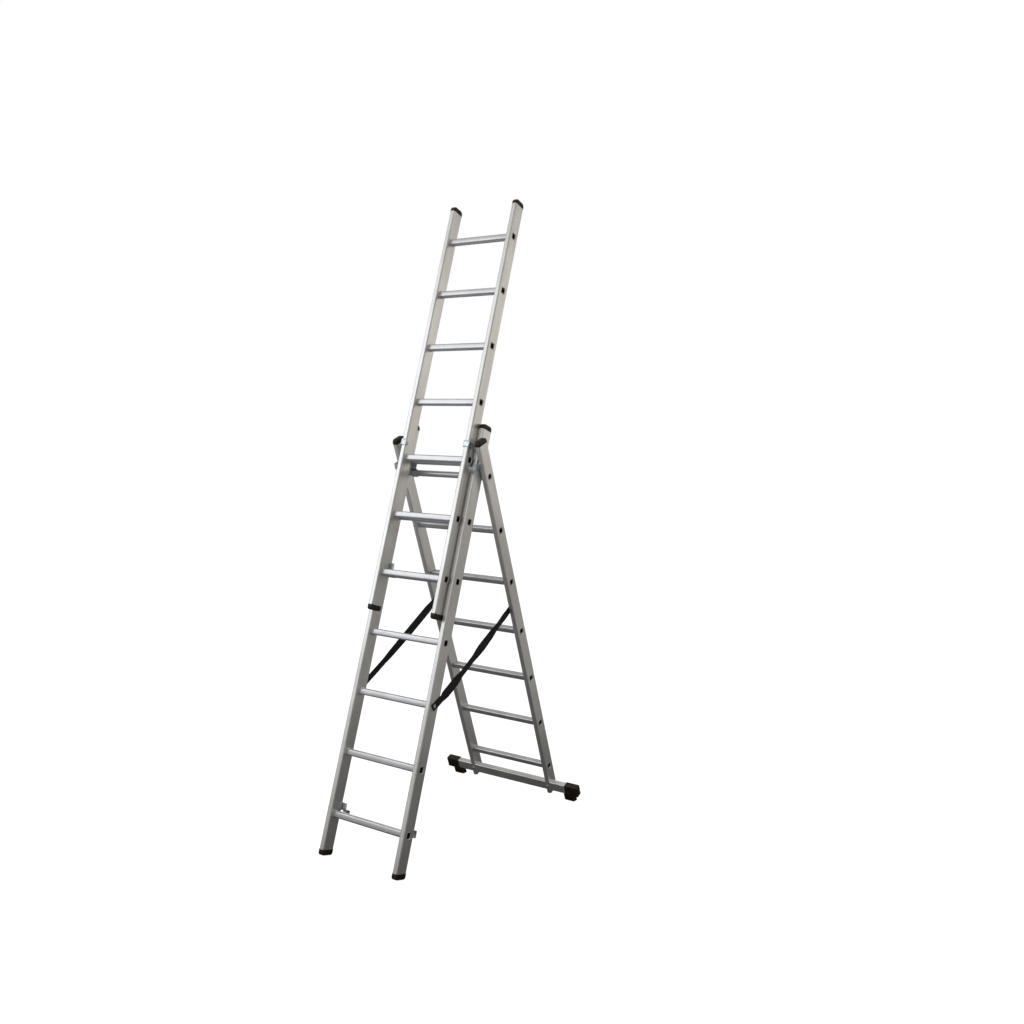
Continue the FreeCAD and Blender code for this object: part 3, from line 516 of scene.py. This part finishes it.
def end_cap(section, side, node, down):
    """Domed plastic cap: neck in the stile, parting gap, grip ribs on its sides and rounded crown."""
    sign = SIDES[side]
    middle_x = sign * (HALF_WIDTH[section] - STILE_WIDTH / 2)
    half_x = STILE_WIDTH / 2 + CAP_PROUD
    half_y = STILE_DEPTH / 2
    crown, rounding = FOOT_SHAPE if down else CAP_SHAPE
    bm = bmesh.new()
    block(bm, (-half_x, -half_y, CAP_PARTING), (half_x, half_y, CAP_HEIGHT))
    ends = [edge for edge in bm.edges if all(point.co.z > CAP_HEIGHT - 0.001 for point in edge.verts)
            and abs(edge.verts[0].co.y - edge.verts[1].co.y) < 0.001]
    bmesh.ops.bevel(bm, geom=ends, offset=crown, segments=9, profile=0.5, affect="EDGES", material=-1)
    rims = [edge for edge in bm.edges if edge.is_manifold and edge.calc_face_angle() > radians(50)
            and all(point.co.z > 0.001 for point in edge.verts)]
    uprights = [edge for edge in bm.edges if edge.is_manifold and edge not in rims
                and abs(edge.verts[0].co.z - edge.verts[1].co.z) > 0.005
                and edge.calc_face_angle() > radians(50)]
    bmesh.ops.bevel(bm, geom=rims + uprights, offset=rounding, segments=4, profile=0.5, affect="EDGES",
                    clamp_overlap=True, material=-1)
    neck_x, neck_y = half_x - CAP_NECK_INSET, half_y - CAP_NECK_INSET
    block(bm, (-neck_x, -neck_y, CAP_NECK[0]), (neck_x, neck_y, CAP_NECK[1]))
    for face in (1, -1):
        for step in range(-3, 4):
            y = step * GRIP_PITCH
            rib = block(bm, (face * (half_x - GRIP_SUNK), y - GRIP_HALF, GRIP_LEVELS[0]),
                        (face * (half_x + GRIP_PROUD), y + GRIP_HALF, GRIP_LEVELS[1]))
            crest = [edge for edge in {e for v in rib for e in v.link_edges}
                     if all(abs(v.co.x) > half_x for v in edge.verts)]
            bmesh.ops.bevel(bm, geom=crest, offset=0.0004, segments=2, profile=0.5, affect="EDGES",
                            material=-1)
    level = -STILE_END if down else TOP_RUNG + STILE_END
    turn = Matrix.Rotation(pi, 4, "X") if down else Matrix.Identity(4)
    place = Matrix.Translation((middle_x, 0, level)) @ turn
    bmesh.ops.transform(bm, matrix=FRAMES[section] @ place, verts=bm.verts)
    bmesh.ops.recalc_face_normals(bm, faces=bm.faces)
    as_piece(f"{node}_moulded", bm, PLASTIC, section, [node], smooth=50)


# ---------------------------------------------------------------- restraint straps
STRAP_WIDTH = 0.035
STRAP_TAIL = 0.015
# Shares of the strap from its front bolt, and how far its face is turned from straight across, in degrees.
STRAP_TURNS = {
    "right": [(0, 0), (0.085, 0), (0.15, -46), (0.24, -34), (0.34, 2), (0.46, 2), (0.60, -40), (0.68, -24),
              (0.80, 4), (0.90, -4), (0.95, 0), (1, 0)],
    "left": [(0, 0), (0.08, 0), (0.14, 4), (0.30, 4), (0.42, -12), (0.52, -22), (0.66, -36), (0.84, -46),
             (0.91, -8), (0.945, 0), (1, 0)],
}
STRAP_LEVELS = {"front": 2, "rear": 3.5}    # the bolts' heights, in rung pitches
STRAP_SAG = 0.013
STRAP_FOLD = 0.040          # end of the folded layer, from the bolt
STRAP_FOLD_INSET = 0.0004
WEBBING_THICKNESS = 0.001
SEAM_HALF = 0.009
SEAM_LENGTH = 0.022
SEAM_START = 0.014          # from the bolt
SEAM_LIFT = 0.00155         # thread's middle off the webbing's
STITCH_PITCH = 0.0028
STITCH_SIZE = (0.0003, 0.0003, 0.0011)


def eased(stops, share):
    """Value between stops, changing smoothly."""
    for (start, first), (end, second) in zip(stops, stops[1:]):
        if share <= end:
            part = min(max((share - start) / (end - start), 0), 1)
            return first + (second - first) * part * part * (3 - 2 * part)
    return stops[-1][1]


def strap_point(low, high, side, across, along, stand_off):
    """Place on the turned strap: across its width, along it from the front bolt, outwards off its face."""
    run = high - low
    share = along / run.length
    direction = run.normalized()
    face = Matrix.Rotation(radians(eased(STRAP_TURNS[side], share)), 3, direction) @ ACROSS
    sag = Vector((0, 0, -STRAP_SAG * sin(pi * min(max(share, 0), 1) ** 0.6)))
    return low + direction * along + direction.cross(face) * across + face * stand_off * SIDES[side] + sag


def strap_piece(side):
    """Webbing strap bolted at both ends, its ends folded back and sewn."""
    sign = SIDES[side]
    across = sign * (HALF_WIDTH["front"] + SIDE_GAP / 2)
    low = FRAMES["front"] @ Vector((across, 0, STRAP_LEVELS["front"] * PITCH))
    high = FRAMES["rear"] @ Vector((across, -STRAP_SHIFT, STRAP_LEVELS["rear"] * PITCH))
    length = (high - low).length
    bm = bmesh.new()
    uv = bm.loops.layers.uv.new("weave")
    made = bmesh.ops.create_grid(bm, x_segments=6, y_segments=150, size=1)
    for point in made["verts"]:
        narrowing = 1 - 0.10 * abs(point.co.y) ** 40    # only at the very ends
        point.co = Vector((point.co.x * STRAP_WIDTH / 2 * narrowing,
                           length / 2 + point.co.y * (length / 2 + STRAP_TAIL), 0))
    for face in bm.faces:
        for loop in face.loops:
            loop[uv].uv = (loop.vert.co.x, loop.vert.co.y)
    for start, end in ((-STRAP_TAIL, STRAP_FOLD), (length - STRAP_FOLD, length + STRAP_TAIL)):
        fold = bmesh.ops.create_grid(bm, x_segments=6, y_segments=12, size=1)["verts"]
        for point in fold:
            point.co = Vector((point.co.x * (STRAP_WIDTH / 2 - STRAP_FOLD_INSET),
                               (start + end) / 2 + point.co.y * (end - start) / 2, WEBBING_THICKNESS))
        for face in {face for point in fold for face in point.link_faces}:
            for loop in face.loops:
                loop[uv].uv = (loop.vert.co.x, loop.vert.co.y)
    for point in bm.verts:
        off = point.co.z if point.co.y < length / 2 else -point.co.z
        point.co = strap_point(low, high, side, point.co.x, point.co.y, off)
    strap = as_piece(f"strap_{side}_webbing", bm, WEBBING, None, [f"strap_{side}"], smooth=60)
    thickness = strap.modifiers.new("thickness", "SOLIDIFY")
    thickness.thickness = WEBBING_THICKNESS
    thickness.offset = 0
    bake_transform(strap)
    stitches(side, low, high, length)


def stitches(side, low, high, length):
    """Boxed cross of sewing at each end of the strap."""
    for body, near, lift in (("front", SEAM_START, SEAM_LIFT),
                             ("rear", length - SEAM_START - SEAM_LENGTH, -SEAM_LIFT)):
        bm = bmesh.new()
        far = near + SEAM_LENGTH
        corners = [(-SEAM_HALF, near), (SEAM_HALF, near), (SEAM_HALF, far), (-SEAM_HALF, far)]
        lines = list(zip(corners, corners[1:] + corners[:1]))
        lines += [(corners[0], corners[2]), (corners[1], corners[3])]
        for (x0, y0), (x1, y1) in lines:
            seam = Vector((x1 - x0, y1 - y0))
            count = int(seam.length / STITCH_PITCH)
            for step in range(count):
                mid = (step + 0.5) / count
                at, ahead = (strap_point(low, high, side, x0 + seam.x * share, y0 + seam.y * share, lift)
                             for share in (mid, mid + 0.05))
                thread = bmesh.ops.create_uvsphere(bm, u_segments=6, v_segments=4, radius=1)["verts"]
                bmesh.ops.scale(bm, vec=STITCH_SIZE, verts=thread)
                lay = (ahead - at).to_track_quat("Z", "X").to_matrix().to_4x4()
                bmesh.ops.transform(bm, matrix=Matrix.Translation(at) @ lay, verts=thread)
        as_piece(f"strap_{side}_stitching_{body}", bm, THREAD, body)


# ---------------------------------------------------------------- the ladder
for side in SIDES:
    strap_piece(side)
for section in SECTIONS:
    for number in RUNGS:
        rung_piece(section, number)
    for side in SIDES:
        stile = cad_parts[f"{section}_stile_{side}"]
        stile.material_slots[0].material = STILE_METAL[section]
        end_cap(section, side, f"{section}_cap_{side}", down=False)
        if section != "rear":
            end_cap(section, side, f"{section}_foot_{side}", down=True)
            hook(f"{section}_hook_{side}", section, side, 0, *REST_HOOK)
        if section != "fly":
            guide(section, side)
for side in SIDES:
    hook(f"hinge_hook_{side}", "front", side, HINGE_LEVEL, *HINGE_HOOK)
    softened(f"bar_foot_{side}", PLASTIC, "rear", width=0.0012, segments=3)
AS_IN_CAD = {
    "stabiliser_bar": BAR_METAL,
    "bar_bolts": BOLT_STEEL,
    "strap_anchors_front": BOLT_STEEL,
    "strap_anchors_rear": BOLT_STEEL,
    "front_rivets": RIVET_STEEL,
    "fly_rivets": RIVET_STEEL,
    "rear_rivets": RIVET_STEEL,
}
for node, material in AS_IN_CAD.items():
    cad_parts[node].material_slots[0].material = material


# ---------------------------------------------------------------- floor and light
def floor():
    """Floor that the camera sees as white; the metal sees it grey near the feet and paler further off, a
    painted shade round the ladder.
    """
    bm = bmesh.new()
    bmesh.ops.create_circle(bm, cap_ends=True, segments=96, radius=40)
    mesh = bpy.data.meshes.new("floor")
    bm.to_mesh(mesh)
    bm.free()
    ground = bpy.data.objects.new("floor", mesh)
    ground.location.z = -0.0005
    scene.collection.objects.link(ground)
    material, tree, shader = new_finish("pale_floor", (0.9, 0.9, 0.9), 0, 0.9)
    seen = tree.nodes.new("ShaderNodeLightPath").outputs["Is Camera Ray"]
    away = tree.nodes.new("ShaderNodeVectorMath")
    away.operation = "LENGTH"
    tree.links.new(tree.nodes.new("ShaderNodeTexCoord").outputs["Object"], away.inputs[0])
    far = spread(tree, away.outputs["Value"], 1.2, 3.2, 0, 1)
    # Painted shade: for every ray but the camera's, the floor is grey near the feet and paler further off.
    unseen = between(tree, far, (0.12, 0.12, 0.125), (0.55, 0.55, 0.55))
    tree.links.new(between(tree, seen, unseen, (0.25, 0.25, 0.25)), shader.inputs["Base Color"])
    shader.inputs["Emission Color"].default_value = (1, 1, 1, 1)
    tree.links.new(spread(tree, seen, 0, 1, 0, 0.95), shader.inputs["Emission Strength"])
    mesh.materials.append(material)


def softbox(name, place, aim, size, power, colour=(1, 1, 1)):
    """Rectangular lamp at a place, turned towards its aim."""
    data = bpy.data.lights.new(name, "AREA")
    data.shape = "RECTANGLE"
    data.size, data.size_y = size
    data.energy = power
    data.color = colour
    lamp = bpy.data.objects.new(name, data)
    lamp.location = place
    lamp.rotation_euler = (Vector(aim) - Vector(place)).to_track_quat("-Z", "Y").to_euler()
    scene.collection.objects.link(lamp)


def surroundings():
    """White backdrop for the camera; for the metal, a room that is dark below and brighter above."""
    world = bpy.data.worlds.new("studio")
    scene.world = world
    world.use_nodes = True
    tree = world.node_tree
    background = tree.nodes["Background"]
    direction = tree.nodes.new("ShaderNodeTexCoord").outputs["Generated"]
    axes = tree.nodes.new("ShaderNodeSeparateXYZ")
    tree.links.new(direction, axes.inputs[0])
    height = spread(tree, axes.outputs["Z"], -0.45, 0.40, 0, 1)
    room = between(tree, height, (0.13, 0.13, 0.135), (0.46, 0.445, 0.42))
    seen = tree.nodes.new("ShaderNodeLightPath").outputs["Is Camera Ray"]
    tree.links.new(between(tree, seen, room, (1.0, 1.0, 1.0)), background.inputs["Color"])
    background.inputs["Strength"].default_value = 1


floor()
surroundings()
softbox("key", (-4.5, -6.5, 5.2), (0, 0, 1.6), (9, 5.5), 212, (0.90, 0.95, 1.0))
softbox("side", (3.4, 5.6, 2.8), (0, 0, 1.2), (3.0, 3.0), 22, (1.0, 0.94, 0.84))
softbox("top", (0, 0.5, 6.5), (0, 0, 1), (4, 4), 50)
